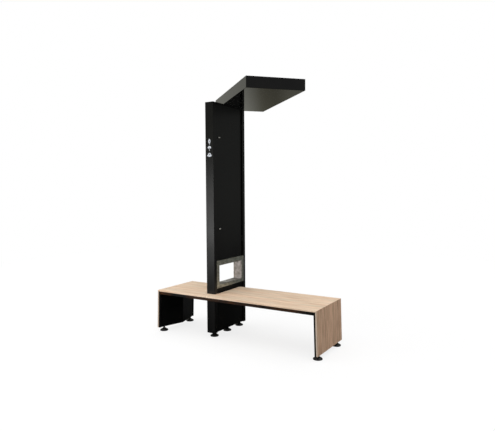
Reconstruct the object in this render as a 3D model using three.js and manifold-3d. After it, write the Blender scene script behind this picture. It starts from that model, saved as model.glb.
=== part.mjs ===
// A solar charging bench: a timber seat on two folded end legs, and a thin steel tower through it
// that carries a charging window, a service door and a flat solar head which can be turned.
// Millimetres, +Z up. The origin is on the floor, under the tower's middle foot.
// X runs along the seat, -Y is the side that people sit down from.

import * as THREE from 'three';
import { mergeVertices } from 'three/addons/utils/BufferGeometryUtils.js';
import Module from 'manifold-3d';

const wasm = await Module();
wasm.setup();

// Seat
const seatLength = 1830;
const seatDepth = 590;
const seatHeight = 450;
const boardThickness = 14;
const notchGap = 3;
const towerPlaceShare = 1 / 3;

// Under-frame of square tube
const railSize = 30;
const railWall = 2;
const steelInset = 3;
const middleRailShare = 0.5;
const lugLength = 40;

// End legs
const floorGap = 44;
const legSplay = 12;
const legFlange = 18;
const legFlat = 32;
const legRidge = 75;
const legSheet = 3;
const footPlateThickness = 6;

// Levelling feet
const padRadius = 43;
const padEdge = 10;
const padHeight = 26;
const padNeck = 18;
const stemRadius = 6;
const nutRadius = 10.5;
const nutHeight = 10;
const footTravel = 25;
const stemSpare = 8;
const legFootInset = 30;
const legFootEnd = 72;
const towerFootEnd = 59;

// Tower
const towerThickness = 100;
const towerWidth = 590;
const towerHeight = 2395;
const towerSetback = 120;
const postDepth = 45;
const postSheet = 3;
const panelRecess = 15;
const panelSheet = 2;
const topPlateThickness = 8;
const basePlateThickness = 6;

// Charging window
const windowWidth = 515;
const windowHeight = 283;
const windowAboveSeat = 52;
const flangeSide = 47;
const flangeTop = 50;
const flangeBottom = 33;
const windowSheet = 2;
const padPlateLength = 170;
const padPlateWidth = 80;
const padPlateThickness = 4;
const padPlateCorner = 14;

// USB socket in the window's jamb
const socketWidth = 44;
const socketHeight = 26;
const socketDepth = 24;
const bezelEdge = 6;
const bezelThickness = 3;
const portWidth = 13;
const portHeight = 6;
const portDepth = 12;
const portPitch = 20;

// Service door
const doorGap = 3;
const frameSheet = 3;
const frameSide = 28;
const frameLedge = 20;
const sealWidth = 10;
const sealInset = 2;
const knuckleRadius = 3.5;
const knuckleLength = 20;
const hingePinRadius = 2;
const leafSheet = 1.5;
const leafWidth = 10;
const hingeEndShare = 0.12;

// Quarter-turn locks
const lockInset = 69;
const lockHeightShares = [0.202, 0.788];
const barrelRadius = 9.5;
const lockFaceRadius = 13;
const lockFaceThickness = 3;
const tongueLength = 52;
const tongueWidth = 14;
const tongueSheet = 3;
const tongueSetBack = 3;

// Equipment inside the tower
const shelfSheet = 3;
const shelfUpstand = 24;
const shelfHoleRadius = 7;
const batterySize = { x: 52, y: 320, z: 170 };
const equipmentSheet = 2;
const equipmentGap = 2;
const equipmentHeight = 560;
const equipmentAboveShelf = 260;
const controllerSize = { x: 40, y: 180, z: 110 };
const supplySize = { x: 34, y: 110, z: 80 };
const fuseSize = { x: 26, y: 90, z: 55 };
const equipmentMargin = 40;
const supplyPlaceShare = -1 / 3;
const fusePlaceShare = 1 / 3;
const leadPlaceShare = 1 / 3;
const mainCableRadius = 4;
const leadRadius = 3;
const cableSteps = 40;
const mainCableBelowTop = [10, 110, 240];
const mainCableInward = [0, 14, 32, 50];
const mainCableAside = -8;
const mainCableOverDevice = [300, 80, 40];
const mainCableEndY = 20;
const mainCableBendY = 90;
const leadDrops = [40, 80, 150];
const leadBend = 100;

// Head and its swivel
const headLength = 1225;
const headWidth = 555;
const headHeight = 103;
const headSheet = 2;
const headTurn = 47.8;
const headBack = 123.5;
const headOffset = 52.8;
const pivotInset = 50;
const ringThickness = 2;
const spigotRadius = 20;
const spigotBore = 14;
const ringWidth = 9;
const bossRadius = 46;
const hubThickness = 8;
const hubHalfWidth = 75;
const hubReach = 150;
const hubBack = 80;
const capRadius = 30;
const capThickness = 6;
const stopRadius = 36;
const stopPinRadius = 4;
const stopPinSpare = 2;
const slotGap = 0.4;
const stopSweep = 90;
const headRailWidth = 30;
const moduleGap = 5;
const moduleHeight = 35;
const moduleDrop = 3;
const moduleEdge = 12;
const moduleLedge = 5;
const glassThickness = 5;
const glassDrop = 1;
const boxLength = 120;
const boxWidth = 110;
const boxHeight = 22;
const boxAway = 300;
const headCableShares = [0.8, 0.4];
const headCableRises = [25, 32, 22, 6];
const headCableBends = [30, 5];

// Clearances and overruns
const gap = 0.3;
const overrun = 5;
const roundSides = 24;
const smallSides = 16;

// Places that follow from the sizes above
const seatLeft = -seatLength * towerPlaceShare;
const seatRight = seatLeft + seatLength;
const seatNear = -towerWidth / 2 - towerSetback;
const seatFar = seatNear + seatDepth;
const seatUnder = seatHeight - boardThickness;
const railUnder = seatUnder - railSize;
const steelNear = seatNear + steelInset;
const steelFar = seatFar - steelInset;

const legDrop = seatHeight - floorGap;
const legSlope = legSplay / legDrop;
const boardRun = boardThickness * Math.hypot(1, legSlope);
const mitreRun = boardRun - legSlope * boardThickness;

const halfThickness = towerThickness / 2;
const halfWidth = towerWidth / 2;
const panelOuter = halfThickness - panelRecess;
const panelInner = panelOuter - panelSheet;
const bayHalf = halfWidth - postDepth;
const topPlateUnder = towerHeight - topPlateThickness;

const windowBottom = seatHeight + windowAboveSeat;
const holeHalf = windowWidth / 2 - flangeSide;
const holeBottom = windowBottom + flangeBottom;
const holeTop = windowBottom + windowHeight - flangeTop;
const windowTop = windowBottom + windowHeight;
const shelfUnder = holeTop + windowSheet + doorGap;
const shelfTop = shelfUnder + shelfSheet;

const doorBottom = windowTop + doorGap;
const doorTop = topPlateUnder - doorGap;
const sealThickness = panelSheet;
const frameOuter = panelInner - sealThickness;
const frameInner = frameOuter - frameSheet;
const doorNear = -bayHalf + doorGap;
const hingeX = panelOuter + gap + knuckleRadius;
const hingeY = bayHalf - leafSheet - gap - knuckleRadius;
const lockY = doorNear + lockInset;

const plateInner = equipmentGap - panelInner;
const plateFace = plateInner + equipmentSheet;
const equipmentBottom = shelfUnder + equipmentAboveShelf;

const pivotY = halfWidth - pivotInset;
const trayUnder = towerHeight + ringThickness;
const trayFloor = trayUnder + headSheet;
const hubTop = trayFloor + hubThickness;
const headTop = trayUnder + headHeight;
const headFar = headBack;
const headNear = headBack - headLength;
const headLeft = headOffset - headWidth / 2;
const headRight = headOffset + headWidth / 2;
const moduleTop = headTop - moduleDrop;
const moduleUnder = moduleTop - moduleHeight;
const glassUnder = moduleTop - glassDrop - glassThickness;
const cableMeet = hubTop - hubThickness / 2;

const colours = {
  wood: 0xcdb092,
  black: 0x1b1b19,
  darkSteel: 0x151514,
  stainless: 0x8d8a83,
  zinc: 0xa7a7a3,
  rubber: 0x161616,
  plastic: 0x2a2b2d,
  battery: 0x2f4a63,
  glass: 0x10151f,
  aluminium: 0xb4b6b8,
  cable: 0x0f0f0f,
};

const finishes = {
  wood: { roughness: 0.6, metalness: 0 },
  black: { roughness: 0.4, metalness: 0.1 },
  darkSteel: { roughness: 0.5, metalness: 0.1 },
  stainless: { roughness: 0.4, metalness: 0.9 },
  zinc: { roughness: 0.35, metalness: 0.9 },
  rubber: { roughness: 0.85, metalness: 0 },
  plastic: { roughness: 0.5, metalness: 0 },
  battery: { roughness: 0.5, metalness: 0 },
  glass: { roughness: 0.1, metalness: 0 },
  aluminium: { roughness: 0.35, metalness: 0.9 },
  cable: { roughness: 0.6, metalness: 0 },
};

const bench = new THREE.Group();
const head = new THREE.Group();
head.position.set(0, pivotY, 0);
head.rotation.z = THREE.MathUtils.degToRad(headTurn);
bench.add(head);

// Adds one named piece with a material of its own
function add(name, geometry, finish, parent = bench) {
  const material = new THREE.MeshStandardMaterial({ color: colours[finish], ...finishes[finish] });
  const mesh = new THREE.Mesh(geometry, material);
  mesh.name = name;
  parent.add(mesh);
}

// Turns a closed geometry into a solid for joining and cutting
function solid(geometry) {
  const bare = geometry.clone();
  bare.deleteAttribute('normal');
  bare.deleteAttribute('uv');
  const merged = mergeVertices(bare);
  const places = Float32Array.from(merged.attributes.position.array);
  const triangles = Uint32Array.from(merged.index.array);
  return new wasm.Manifold(new wasm.Mesh({ numProp: 3, vertProperties: places, triVerts: triangles }));
}

// Turns a solid back into a geometry
function geometryOf(body) {
  const mesh = body.getMesh();
  const geometry = new THREE.BufferGeometry();
  geometry.setAttribute('position', new THREE.BufferAttribute(Float32Array.from(mesh.vertProperties), mesh.numProp));
  geometry.setIndex(Array.from(mesh.triVerts));
  geometry.computeVertexNormals();
  return geometry;
}

function join(first, ...others) {
  return geometryOf(others.reduce((body, other) => body.add(solid(other)), solid(first)));
}

function cut(first, ...others) {
  return geometryOf(others.reduce((body, other) => body.subtract(solid(other)), solid(first)));
}

// A block between two corners
function block(x0, x1, y0, y1, z0, z1) {
  const geometry = new THREE.BoxGeometry(x1 - x0, y1 - y0, z1 - z0);
  geometry.translate((x0 + x1) / 2, (y0 + y1) / 2, (z0 + z1) / 2);
  return geometry;
}

// A flat shape whose points always run the same way round
function outline(points) {
  const corners = points.map(([a, b]) => new THREE.Vector2(a, b));
  return new THREE.Shape(THREE.ShapeUtils.isClockWise(corners) ? corners.reverse() : corners);
}

function rectangle(a0, a1, b0, b1) {
  return outline([[a0, b0], [a1, b0], [a1, b1], [a0, b1]]);
}

// Each axis that a shape is stretched along takes the shape's two axes as the next two in turn
const unit = { x: new THREE.Vector3(1, 0, 0), y: new THREE.Vector3(0, 1, 0), z: new THREE.Vector3(0, 0, 1) };
const turns = {
  x: new THREE.Matrix4().makeBasis(unit.y, unit.z, unit.x),
  y: new THREE.Matrix4().makeBasis(unit.z, unit.x, unit.y),
  z: new THREE.Matrix4(),
};

function stretch(shape, axis, from, to, curveSegments = roundSides) {
  const depth = to - from;
  const geometry = new THREE.ExtrudeGeometry(shape, { depth, bevelEnabled: false, curveSegments });
  geometry.translate(0, 0, from);
  return geometry.applyMatrix4(turns[axis]);
}

// A rectangular tube, open at both ends
function boxTube(axis, from, to, a0, a1, b0, b1, wall) {
  const shape = rectangle(a0, a1, b0, b1);
  shape.holes.push(rectangle(a0 + wall, a1 - wall, b0 + wall, b1 - wall));
  return stretch(shape, axis, from, to);
}

// A round bar along an axis, placed by the other two in turn
function bar(axis, from, to, a, b, radius, sides = roundSides) {
  const geometry = new THREE.CylinderGeometry(radius, radius, to - from, sides);
  geometry.rotateX(Math.PI / 2);
  geometry.translate(a, b, (from + to) / 2);
  return geometry.applyMatrix4(turns[axis]);
}

// A closed profile turned about a vertical axis: its points are radius and height
function turned(points, sides = roundSides) {
  const profile = points.map(([radius, height]) => new THREE.Vector2(radius, height));
  const geometry = new THREE.LatheGeometry(profile, sides);
  return geometry.rotateX(Math.PI / 2);
}

function ring(inner, outer, z0, z1) {
  return turned([[inner, z0], [outer, z0], [outer, z1], [inner, z1], [inner, z0]]);
}

// A round cable through a list of points
function cable(points, radius, steps) {
  const section = new THREE.Shape();
  section.absarc(0, 0, radius, 0, 2 * Math.PI);
  const path = new THREE.CatmullRomCurve3(points.map((point) => new THREE.Vector3(...point)));
  return new THREE.ExtrudeGeometry(section, { steps, extrudePath: path, curveSegments: smallSides / 4 });
}

// Seat board with mitred ends and a notch that the tower stands in
function seatBoard() {
  const profile = outline([
    [seatHeight, seatLeft],
    [seatHeight, seatRight],
    [seatUnder, seatRight - mitreRun],
    [seatUnder, seatLeft + mitreRun],
  ]);
  const board = stretch(profile, 'y', seatNear, seatFar);
  const notchHalf = halfThickness + notchGap;
  const notchNear = -halfWidth - notchGap;
  const notch = block(-notchHalf, notchHalf, notchNear, seatFar + overrun, seatUnder - overrun, seatHeight + overrun);
  add('seat_board', cut(board, notch), 'wood');
}

// Leg places: how far out of the seat's end a leg's outer face stands at a height
function outAt(z) {
  return (seatHeight - z) * legSlope;
}

// End board, mitred to the seat and leaning out to the floor
function endBoard(name, end, side) {
  const mitreDrop = 2 * gap;
  const at = (out, z) => [z, end + side * out];
  const topOuter = seatHeight - mitreDrop;
  const topInner = seatUnder - mitreDrop;
  const profile = outline([
    at(outAt(topOuter), topOuter),
    at(legSplay, floorGap),
    at(legSplay - boardRun, floorGap),
    at(outAt(topInner) - boardRun, topInner),
  ]);
  add(name, stretch(profile, 'y', seatNear, seatFar), 'wood');
}

// Leans a leg's steel out with its board: places are measured inwards from the board's inner face
function leanLeg(geometry, end, side) {
  const lean = new THREE.Matrix4().makeShear(0, 0, 0, 0, -side * legSlope, 0);
  geometry.applyMatrix4(lean);
  return geometry.translate(end + side * (seatHeight * legSlope - boardRun - gap), 0, 0);
}

// The leg's plan: flat at both edges and folded to a ridge at mid depth, all stepped in by a margin
function legOutline(side, margin) {
  const middle = (steelFar + steelNear) / 2;
  const run = middle - steelNear - legFlat;
  const back = margin * Math.hypot(1, legRidge / run);
  const flat = legFlat + ((back - margin) * run) / legRidge;
  const points = [
    [margin, steelNear + margin],
    [legFlange - margin, steelNear + margin],
    [legFlange - margin, steelNear + flat],
    [legFlange + legRidge - back, middle],
    [legFlange - margin, steelFar - flat],
    [legFlange - margin, steelFar - margin],
    [margin, steelFar - margin],
  ];
  return outline(points.map(([inward, y]) => [-side * inward, y]));
}

function legShell(name, end, side) {
  const shape = legOutline(side, 0);
  shape.holes.push(legOutline(side, legSheet));
  add(name, leanLeg(stretch(shape, 'z', floorGap, seatUnder), end, side), 'black');
}

function legFootX(end, side) {
  return end + side * (legSplay - legFootInset);
}

const legFootYs = [seatNear + legFootEnd, seatFar - legFootEnd];

function footPlate(name, end, side) {
  const shape = legOutline(side, legSheet + gap);
  const plate = leanLeg(stretch(shape, 'z', floorGap, floorGap + footPlateThickness), end, side);
  const holes = legFootYs.map((y) => stemHole(legFootX(end, side), y));
  add(name, cut(plate, ...holes), 'darkSteel');
}

function stemHole(x, y) {
  const top = floorGap + Math.max(footPlateThickness, basePlateThickness) + overrun;
  return bar('z', floorGap - overrun, top, x, y, stemRadius + gap);
}

// Levelling foot: a dished pad on a threaded stem with its lock nut
function foot(name, x, y, plateThickness) {
  const stemTop = floorGap + plateThickness + footTravel + stemSpare;
  const body = turned([
    [0, 0],
    [padRadius, 0],
    [padRadius, padEdge],
    [padNeck, padHeight],
    [stemRadius, padHeight],
    [stemRadius, stemTop],
    [0, stemTop],
  ]);
  const nut = bar('z', floorGap - nutHeight, floorGap, 0, 0, nutRadius, 6);
  add(name, join(body, nut).translate(x, y, 0), 'rubber');
}

// Tube beside the tower, with a lug that holds the tower's side panel
function towerRail(name, side, from, to) {
  const x0 = side > 0 ? halfThickness : -halfThickness - railSize;
  const tube = boxTube('y', from, to, railUnder, seatUnder, x0, x0 + railSize, railWall);
  const lugFar = to - railSize;
  const lugX = [side * panelOuter, side * (halfThickness + railWall / 2)];
  const lug = block(Math.min(...lugX), Math.max(...lugX), lugFar - lugLength, lugFar, railUnder, seatUnder);
  add(name, join(tube, lug), 'black');
}

// Square tubes under the seat
function underFrame() {
  const along = (name, from, to, y0) =>
    add(name, boxTube('x', from, to, y0, y0 + railSize, railUnder, seatUnder, railWall), 'black');
  const across = (name, from, to, x0) =>
    add(name, boxTube('y', from, to, railUnder, seatUnder, x0, x0 + railSize, railWall), 'black');
  const legFace = boardRun - outAt(seatUnder) + legFlange + 2 * gap;
  const left = seatLeft + legFace;
  const right = seatRight - legFace;
  const towerLeft = -halfThickness;
  const towerRight = halfThickness;
  const crossNear = steelNear + railSize;
  const rearY = steelFar - railSize;
  const middle = THREE.MathUtils.lerp(towerRight + railSize, right, middleRailShare);
  along('front_rail', left, right, steelNear);
  along('left_rear_rail', left, towerLeft - railSize, rearY);
  along('right_rear_rail', towerRight + railSize, right, rearY);
  towerRail('left_tower_rail', -1, crossNear, steelFar);
  towerRail('right_tower_rail', 1, crossNear, steelFar);
  across('middle_rail', crossNear, rearY, middle - railSize / 2);
}

// Tower posts, plates and fixed panels
function post(name, y0) {
  const tube = boxTube('z', floorGap, topPlateUnder, -halfThickness, halfThickness, y0, y0 + postDepth, postSheet);
  add(name, tube, 'black');
}

function panel(name, side, z0, z1) {
  const x0 = side > 0 ? panelInner : -panelOuter;
  add(name, block(x0, x0 + panelSheet, -bayHalf, bayHalf, z0, z1), 'black');
}

const towerFootYs = [towerFootEnd - halfWidth, 0, halfWidth - towerFootEnd];

function basePlate() {
  const plate = block(-panelInner, panelInner, -bayHalf, bayHalf, floorGap, floorGap + basePlateThickness);
  add('base_plate', cut(plate, ...towerFootYs.map((y) => stemHole(0, y))), 'darkSteel');
}

function topPlate() {
  const plate = block(-halfThickness, halfThickness, -halfWidth, halfWidth, topPlateUnder, towerHeight);
  const cableHole = bar('z', topPlateUnder - overrun, towerHeight + overrun, 0, pivotY, spigotBore);
  const pinTop = hubTop + stopPinSpare;
  const pinFoot = towerHeight - topPlateThickness / 2;
  const stopPin = bar('z', pinFoot, pinTop, 0, pivotY - stopRadius, stopPinRadius, smallSides);
  add('top_plate', geometryOf(solid(plate).subtract(solid(cableHole)).add(solid(stopPin))), 'black');
}

// A ring of sheet round the window with lips at its top and bottom edges
function windowFlange(side) {
  const shape = rectangle(-windowWidth / 2, windowWidth / 2, windowBottom, windowTop);
  shape.holes.push(rectangle(-holeHalf, holeHalf, holeBottom, holeTop));
  const face = side * halfThickness;
  const outer = side * (halfThickness + windowSheet);
  const flange = stretch(shape, 'x', Math.min(face, outer), Math.max(face, outer));
  const lipIn = side * (panelOuter + gap);
  const lipX = [Math.min(lipIn, outer), Math.max(lipIn, outer)];
  const lipHalf = bayHalf - gap;
  const lips = [windowBottom, windowTop - windowSheet].map((z) =>
    block(...lipX, -lipHalf, lipHalf, z, z + windowSheet));
  return join(flange, ...lips);
}

const socketMiddle = (holeBottom + holeTop) / 2;

function chargingWindow() {
  const tunnel = boxTube('x', -halfThickness, halfThickness + windowSheet, -holeHalf - windowSheet,
    holeHalf + windowSheet, holeBottom - windowSheet, holeTop + windowSheet, windowSheet);
  const cutOut = block(-socketWidth / 2 - gap, socketWidth / 2 + gap, -holeHalf - windowSheet - overrun,
    -holeHalf + overrun, socketMiddle - socketHeight / 2 - gap, socketMiddle + socketHeight / 2 + gap);
  const whole = solid(tunnel).add(solid(windowFlange(1))).subtract(solid(cutOut));
  add('window_tunnel', geometryOf(whole), 'stainless');
  add('window_left_frame', windowFlange(-1), 'stainless');
}

function chargingPad() {
  const shape = new THREE.Shape();
  const a = padPlateWidth / 2;
  const b = padPlateLength / 2;
  const r = padPlateCorner;
  shape.absarc(a - r, b - r, r, 0, Math.PI / 2);
  shape.absarc(r - a, b - r, r, Math.PI / 2, Math.PI);
  shape.absarc(r - a, r - b, r, Math.PI, 1.5 * Math.PI);
  shape.absarc(a - r, r - b, r, 1.5 * Math.PI, 2 * Math.PI);
  add('charging_pad', stretch(shape, 'z', holeBottom, holeBottom + padPlateThickness, smallSides / 2), 'plastic');
}

// Twin USB socket let into the window's jamb
function usbSocket() {
  const halfHeight = socketHeight / 2;
  const bezelFace = -holeHalf + bezelThickness;
  const body = block(-socketWidth / 2, socketWidth / 2, -holeHalf - socketDepth, bezelFace,
    socketMiddle - halfHeight, socketMiddle + halfHeight);
  const bezel = block(-socketWidth / 2 - bezelEdge, socketWidth / 2 + bezelEdge, -holeHalf, bezelFace,
    socketMiddle - halfHeight - bezelEdge, socketMiddle + halfHeight + bezelEdge);
  const ports = [-1, 1].map((side) => {
    const x = (side * portPitch) / 2;
    return block(x - portWidth / 2, x + portWidth / 2, bezelFace - portDepth, bezelFace + overrun,
      socketMiddle - portHeight / 2, socketMiddle + portHeight / 2);
  });
  add('usb_socket', cut(join(body, bezel), ...ports), 'plastic');
}

// Hinge places: the middle of each hinge, at the same share of the door from both ends
const doorHeight = doorTop - doorBottom;
const hingeZs = [doorBottom + doorHeight * hingeEndShare, doorTop - doorHeight * hingeEndShare];
const hingeHalf = (3 * knuckleLength) / 2 + gap;

function knuckle(z0, z1) {
  return bar('z', z0, z1, hingeX, hingeY, knuckleRadius, smallSides);
}

function pinBore(z0, z1) {
  return bar('z', z0, z1, hingeX, hingeY, hingePinRadius + gap, smallSides);
}

const lockZs = lockHeightShares.map((share) => doorBottom + doorHeight * share);

// Service door with a knuckle at each hinge and a hole for each lock
function serviceDoor() {
  const plate = block(panelInner, panelOuter, doorNear, hingeY, doorBottom, doorTop);
  const half = knuckleLength / 2;
  const lugs = hingeZs.flatMap((z) => [
    knuckle(z - half, z + half),
    block(panelInner, hingeX, hingeY - knuckleRadius, hingeY, z - half, z + half),
  ]);
  const bores = hingeZs.map((z) => pinBore(z - hingeHalf, z + hingeHalf));
  const holes = lockZs.map((z) => bar('x', panelInner - overrun, panelOuter + overrun, lockY, z, barrelRadius + gap));
  add('service_door', cut(join(plate, ...lugs), ...bores, ...holes), 'black');
}

// Fixed half of a hinge: a leaf on the rear post with two knuckles
function hingeLeaf(name, z) {
  const low = z - hingeHalf;
  const high = z + hingeHalf;
  const leaf = block(panelOuter + gap, panelOuter + gap + leafWidth, bayHalf - leafSheet, bayHalf, low, high);
  const ends = [[low, low + knuckleLength], [high - knuckleLength, high]];
  const parts = ends.flatMap(([z0, z1]) => [
    knuckle(z0, z1),
    block(hingeX - leafSheet, hingeX + leafSheet, hingeY, bayHalf - leafSheet / 2, z0, z1),
  ]);
  add(name, cut(join(leaf, ...parts), pinBore(low - overrun, high + overrun)), 'darkSteel');
}

function hingePin(name, z) {
  add(name, bar('z', z - hingeHalf, z + hingeHalf, hingeX, hingeY, hingePinRadius, smallSides), 'zinc');
}

// Quarter-turn lock with its tongue hanging down, which is open
function lock(name, z) {
  const tongueX = frameInner - tongueSetBack - tongueSheet;
  const barrel = bar('x', tongueX, panelOuter + lockFaceThickness, lockY, z, barrelRadius);
  const face = bar('x', panelOuter, panelOuter + lockFaceThickness, lockY, z, lockFaceRadius);
  const tongue = block(tongueX, tongueX + tongueSheet, lockY - tongueWidth / 2, lockY + tongueWidth / 2,
    z - tongueLength, z);
  add(name, join(barrel, face, tongue), 'zinc');
}

// Flat frame behind the door, and the seal that the door shuts on
function doorFrame() {
  const shape = rectangle(-bayHalf, bayHalf, shelfUnder, topPlateUnder);
  const inner = bayHalf - frameSide;
  shape.holes.push(rectangle(-inner, inner, doorBottom + frameLedge, doorTop - frameLedge));
  add('door_frame', stretch(shape, 'x', frameInner, frameOuter), 'darkSteel');
  const y0 = doorNear + sealInset;
  const y1 = hingeY - sealInset;
  const z0 = doorBottom + sealInset;
  const z1 = doorTop - sealInset;
  const seal = rectangle(y0, y1, z0, z1);
  seal.holes.push(rectangle(y0 + sealWidth, y1 - sealWidth, z0 + sealWidth, z1 - sealWidth));
  add('door_seal', stretch(seal, 'x', frameOuter, panelInner), 'rubber');
}

const leadY = -holeHalf - windowSheet - (bayHalf - holeHalf - windowSheet) * leadPlaceShare;

// Battery on a folded shelf over the window
function batteryBay() {
  const profile = outline([
    [shelfUnder, -panelInner],
    [shelfUnder, frameInner],
    [shelfUnder + shelfUpstand, frameInner],
    [shelfUnder + shelfUpstand, frameInner - shelfSheet],
    [shelfTop, frameInner - shelfSheet],
    [shelfTop, -panelInner],
  ]);
  const hole = bar('z', shelfUnder - overrun, shelfTop + overrun, 0, leadY, shelfHoleRadius);
  add('battery_shelf', cut(stretch(profile, 'y', -bayHalf, bayHalf), hole), 'darkSteel');
  const x0 = gap - panelInner;
  const half = batterySize.y / 2;
  add('battery', block(x0, x0 + batterySize.x, -half, half, shelfTop, shelfTop + batterySize.z), 'battery');
}

// Places of the devices on the equipment plate
const plateTop = equipmentBottom + equipmentHeight;
const controllerTop = plateTop - equipmentMargin;
const supplyBottom = equipmentBottom + equipmentMargin;

function equipment() {
  add('equipment_plate', block(plateInner, plateFace, -bayHalf, bayHalf, equipmentBottom, plateTop), 'darkSteel');
  const device = (name, size, y, z0, finish) =>
    add(name, block(plateFace, plateFace + size.x, y - size.y / 2, y + size.y / 2, z0, z0 + size.z), finish);
  device('charge_controller', controllerSize, 0, controllerTop - controllerSize.z, 'plastic');
  device('usb_supply', supplySize, bayHalf * supplyPlaceShare, supplyBottom, 'plastic');
  device('fuse_block', fuseSize, bayHalf * fusePlaceShare, supplyBottom, 'plastic');
}

// Cables held inside the tower
function towerCables() {
  const deviceX = plateFace + supplySize.x / 2;
  const mainPoints = [
    [0, pivotY, cableMeet],
    [0, pivotY - mainCableInward[0], topPlateUnder - mainCableBelowTop[0]],
    [0, pivotY - mainCableInward[1], topPlateUnder - mainCableBelowTop[1]],
    [mainCableAside, pivotY - mainCableInward[2], topPlateUnder - mainCableBelowTop[2]],
    [mainCableAside, pivotY - mainCableInward[3], controllerTop + mainCableOverDevice[0]],
    [deviceX, mainCableBendY, controllerTop + mainCableOverDevice[1]],
    [deviceX, mainCableEndY, controllerTop + mainCableOverDevice[2]],
    [deviceX, mainCableEndY, controllerTop + gap],
  ];
  add('tower_cable', cable(mainPoints, mainCableRadius, cableSteps), 'cable');
  const supplyY = bayHalf * supplyPlaceShare;
  const leadPoints = [
    [deviceX, supplyY, supplyBottom - gap],
    [deviceX, supplyY, supplyBottom - leadDrops[0]],
    [deviceX / 2, supplyY - leadBend, supplyBottom - leadDrops[1]],
    [0, leadY, supplyBottom - leadDrops[2]],
    [0, leadY, shelfUnder],
    [0, leadY, socketMiddle + socketHeight / 2 + gap],
  ];
  add('usb_lead', cable(leadPoints, leadRadius, cableSteps), 'cable');
}

// Swivel: a spigot on the top plate, a plain ring, and a cap that holds the hub down
function swivel() {
  const spigotTop = hubTop + gap;
  const place = (geometry) => geometry.translate(0, pivotY, 0);
  add('swivel_spigot', place(ring(spigotBore, spigotRadius, towerHeight, spigotTop)), 'darkSteel');
  const ringInner = spigotRadius + gap;
  add('bearing_ring', place(ring(ringInner, ringInner + ringWidth, towerHeight, trayUnder)), 'plastic');
  add('swivel_cap', place(ring(spigotBore, capRadius, spigotTop, spigotTop + capThickness)), 'zinc');
}

// The arc that the stop pin runs in, as a cutter, in the head's own directions
function stopSlot() {
  const width = stopPinRadius + slotGap;
  const first = -Math.PI / 2 - THREE.MathUtils.degToRad(stopSweep);
  const last = -Math.PI / 2;
  const shape = new THREE.Shape();
  const end = (angle) => [stopRadius * Math.cos(angle), stopRadius * Math.sin(angle)];
  shape.absarc(0, 0, stopRadius + width, first, last);
  shape.absarc(...end(last), width, last, last + Math.PI);
  shape.absarc(0, 0, stopRadius - width, last, first, true);
  shape.absarc(...end(first), width, first + Math.PI, first + 2 * Math.PI);
  return stretch(shape, 'z', trayUnder - overrun, hubTop + overrun);
}

function swivelHub() {
  const boss = bar('z', trayUnder, hubTop, 0, 0, bossRadius);
  const plate = block(-hubHalfWidth, hubHalfWidth, -hubReach, hubBack, trayFloor, hubTop);
  const bore = bar('z', trayUnder - overrun, hubTop + overrun, 0, 0, spigotRadius + gap);
  add('swivel_hub', cut(join(boss, plate), bore, stopSlot()), 'darkSteel', head);
}

// Head tray, open at the top, with the two rails that carry the solar module
function headTray() {
  const outer = block(headLeft, headRight, headNear, headFar, trayUnder, headTop);
  const inner = block(headLeft + headSheet, headRight - headSheet, headNear + headSheet, headFar - headSheet,
    trayFloor, headTop + overrun);
  const hole = bar('z', trayUnder - overrun, trayFloor + overrun, 0, 0, bossRadius + gap);
  add('head_tray', cut(outer, inner, hole), 'black', head);
  const railEnds = [headNear + headSheet + gap, headFar - headSheet - gap];
  const rail = (name, x0) =>
    add(name, boxTube('y', ...railEnds, trayFloor, moduleUnder, x0, x0 + headRailWidth, railWall), 'darkSteel', head);
  rail('left_head_rail', -hubHalfWidth - gap - headRailWidth);
  rail('right_head_rail', hubHalfWidth + gap);
}

// Solar module: aluminium frame, laminate and junction box
function solarModule() {
  const inset = headSheet + moduleGap;
  const x = [headLeft + inset, headRight - inset];
  const y = [headNear + inset, headFar - inset];
  const within = (margin) => [x[0] + margin, x[1] - margin, y[0] + margin, y[1] - margin];
  const whole = block(...within(0), moduleUnder, moduleTop);
  const opening = block(...within(moduleEdge), moduleUnder - overrun, moduleTop + overrun);
  const rebate = block(...within(moduleEdge - moduleLedge), glassUnder, moduleTop + overrun);
  add('module_frame', cut(whole, opening, rebate), 'aluminium', head);
  const glassEdge = moduleEdge - moduleLedge + gap;
  add('module_laminate', block(...within(glassEdge), glassUnder, glassUnder + glassThickness), 'glass', head);
  const half = boxWidth / 2;
  const box = block(-half, half, -boxAway - boxLength, -boxAway, glassUnder - boxHeight, glassUnder);
  add('junction_box', box, 'plastic', head);
}

function headCable() {
  const boxMiddle = glassUnder - boxHeight / 2;
  const points = [
    [0, gap - boxAway, boxMiddle],
    [0, -boxAway * headCableShares[0], boxMiddle],
    [0, -boxAway * headCableShares[1], hubTop + headCableRises[0]],
    [0, -headCableBends[0], hubTop + headCableRises[1]],
    [0, -headCableBends[1], hubTop + headCableRises[2]],
    [0, 0, hubTop + headCableRises[3]],
    [0, 0, cableMeet + gap],
  ];
  add('head_cable', cable(points, mainCableRadius, cableSteps), 'cable', head);
}

seatBoard();
for (const [word, end, side] of [['left', seatLeft, -1], ['right', seatRight, 1]]) {
  endBoard(`${word}_end_board`, end, side);
  legShell(`${word}_leg_shell`, end, side);
  footPlate(`${word}_foot_plate`, end, side);
  foot(`${word}_front_foot`, legFootX(end, side), legFootYs[0], footPlateThickness);
  foot(`${word}_rear_foot`, legFootX(end, side), legFootYs[1], footPlateThickness);
}
underFrame();

post('front_post', -halfWidth);
post('rear_post', bayHalf);
basePlate();
topPlate();
panel('right_lower_panel', 1, floorGap, holeBottom - windowSheet - gap);
panel('left_lower_panel', -1, floorGap, holeBottom - windowSheet - gap);
panel('left_upper_panel', -1, holeTop + windowSheet + gap, topPlateUnder);
['tower_front_foot', 'tower_middle_foot', 'tower_rear_foot'].forEach((name, i) =>
  foot(name, 0, towerFootYs[i], basePlateThickness));

chargingWindow();
chargingPad();
usbSocket();

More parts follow.
